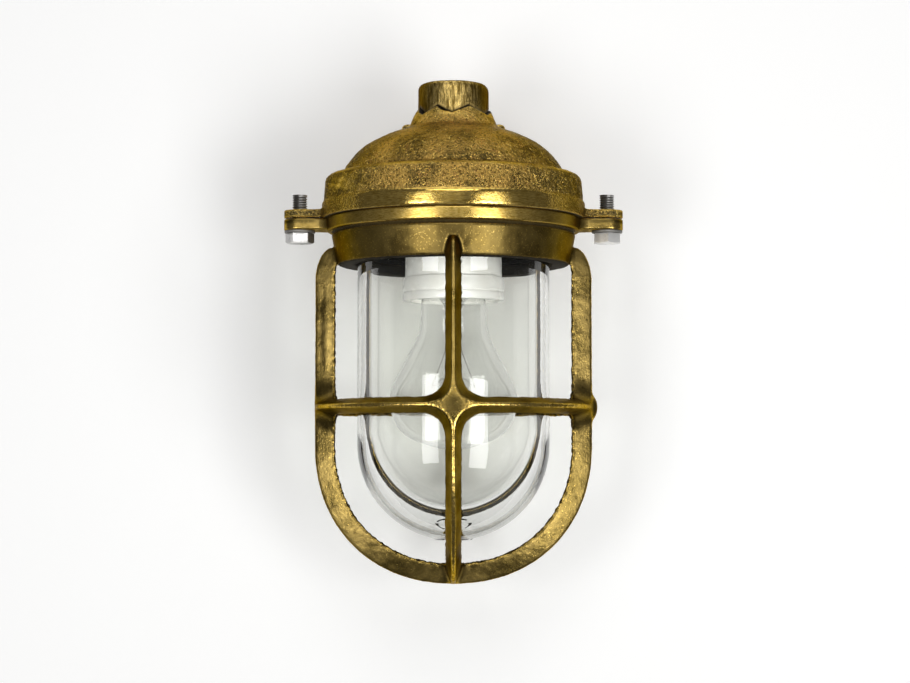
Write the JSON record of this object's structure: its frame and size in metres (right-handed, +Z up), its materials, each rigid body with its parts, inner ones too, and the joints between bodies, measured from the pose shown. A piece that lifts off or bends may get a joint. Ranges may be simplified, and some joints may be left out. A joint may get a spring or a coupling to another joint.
{
  "type": "caged ship lantern",
  "caption": "Hanging marine lantern: cast brass dome with a conduit neck, a bolted rib guard round a thick glass jar, and a screw-in bulb in a white holder.",
  "frame": {"origin": "centre of the neck's top rim, where the conduit enters and the lantern hangs", "axes": "+Z up along the lantern's axis, X through the two clamp bolts, -Y towards the front"},
  "size_m": [0.1768, 0.144, 0.26],
  "materials": {
    "cast_brass": "pitted sand casting with an olive-brown patina, rubbed bright on its edges",
    "worn_brass": "turned and worn, with fine scratches",
    "guard_brass": "dark patina on the faces, filed bright along the outer ridges",
    "contact_brass": "stamped, clean",
    "zinc_steel": "zinc plated",
    "bolt_steel": "dull plating with dirt in the corners",
    "white_ceramic": "smooth white glaze",
    "bulb_glass": "clear blown glass",
    "jar_glass": "thick clear pressed glass, slightly wavy",
    "rubber": "matt black rubber",
    "bulb_insulation": "black vitreous insulation",
    "bulb_cap_metal": "bright rolled thread",
    "tin": "soldered tip",
    "filament_metal": "drawn wire"
  },
  "bodies": {
    "housing": {"neck_sleeve": "worn_brass", "neck_locknut": "worn_brass", "entry_seal": "rubber", "dome_cover": "cast_brass", "holder_plate": "zinc_steel", "plate_screw_left": "worn_brass", "plate_screw_right": "worn_brass", "plate_nut_left": "zinc_steel", "plate_nut_right": "zinc_steel", "nipple_tube": "zinc_steel", "nipple_nut_upper": "zinc_steel", "nipple_nut_lower": "zinc_steel", "lampholder_cap": "white_ceramic", "lampholder_sleeve": "white_ceramic", "skirt_ring": "white_ceramic", "terminal_block": "white_ceramic", "terminal_screw_left": "contact_brass", "terminal_screw_right": "contact_brass", "screw_shell": "contact_brass", "centre_contact": "contact_brass"},
    "bulb_travel": {"bulb_insulator": "bulb_insulation", "bulb_contact": "tin"},
    "bulb": {"bulb_cap": "bulb_cap_metal", "bulb_envelope": "bulb_glass", "bulb_stem": "bulb_glass", "lead_wire_left": "filament_metal", "lead_wire_right": "filament_metal", "filament": "filament_metal"},
    "guard": {"guard_casting": "guard_brass", "glass_jar": "jar_glass", "lower_gasket": "rubber", "upper_gasket": "rubber"},
    "washer_left": {"bolt_washer_left": "bolt_steel"},
    "bolt_left": {"clamp_bolt_left": "bolt_steel"},
    "washer_right": {"bolt_washer_right": "bolt_steel"},
    "bolt_right": {"clamp_bolt_right": "bolt_steel"}
  },
  "joints": [
    {"name": "guard_slide", "type": "slide", "parent": "housing", "child": "guard", "axis": [0, 0, -1], "range_m": [0, 0.14]},
    {"name": "bulb_slide", "type": "slide", "parent": "housing", "child": "bulb_travel", "axis": [0, 0, -1], "range_m": [0, 0.02]},
    {"name": "bulb_turn", "type": "hinge", "parent": "bulb_travel", "child": "bulb", "pos_m": [0, 0, -0.1], "axis": [0, 0, -1], "range_deg": [0, 1980]},
    {"name": "washer_left_slide", "type": "slide", "parent": "guard", "child": "washer_left", "axis": [0, 0, -1], "range_m": [0, 0.021]},
    {"name": "bolt_left_turn", "type": "hinge", "parent": "washer_left", "child": "bolt_left", "pos_m": [-0.0802, 0, -0.08], "axis": [0, 0, -1], "range_deg": [0, 5940]},
    {"name": "washer_right_slide", "type": "slide", "parent": "guard", "child": "washer_right", "axis": [0, 0, -1], "range_m": [0, 0.021]},
    {"name": "bolt_right_turn", "type": "hinge", "parent": "washer_right", "child": "bolt_right", "pos_m": [0.0802, 0, -0.08], "axis": [0, 0, -1], "range_deg": [0, 5940]}
  ],
  "couplings": [
    {"joint": "bulb_slide", "follows": "bulb_turn", "m_per_rad": 0.00057757},
    {"joint": "washer_left_slide", "follows": "bolt_left_turn", "m_per_rad": 0.00019894},
    {"joint": "washer_right_slide", "follows": "bolt_right_turn", "m_per_rad": 0.00019894}
  ]
}
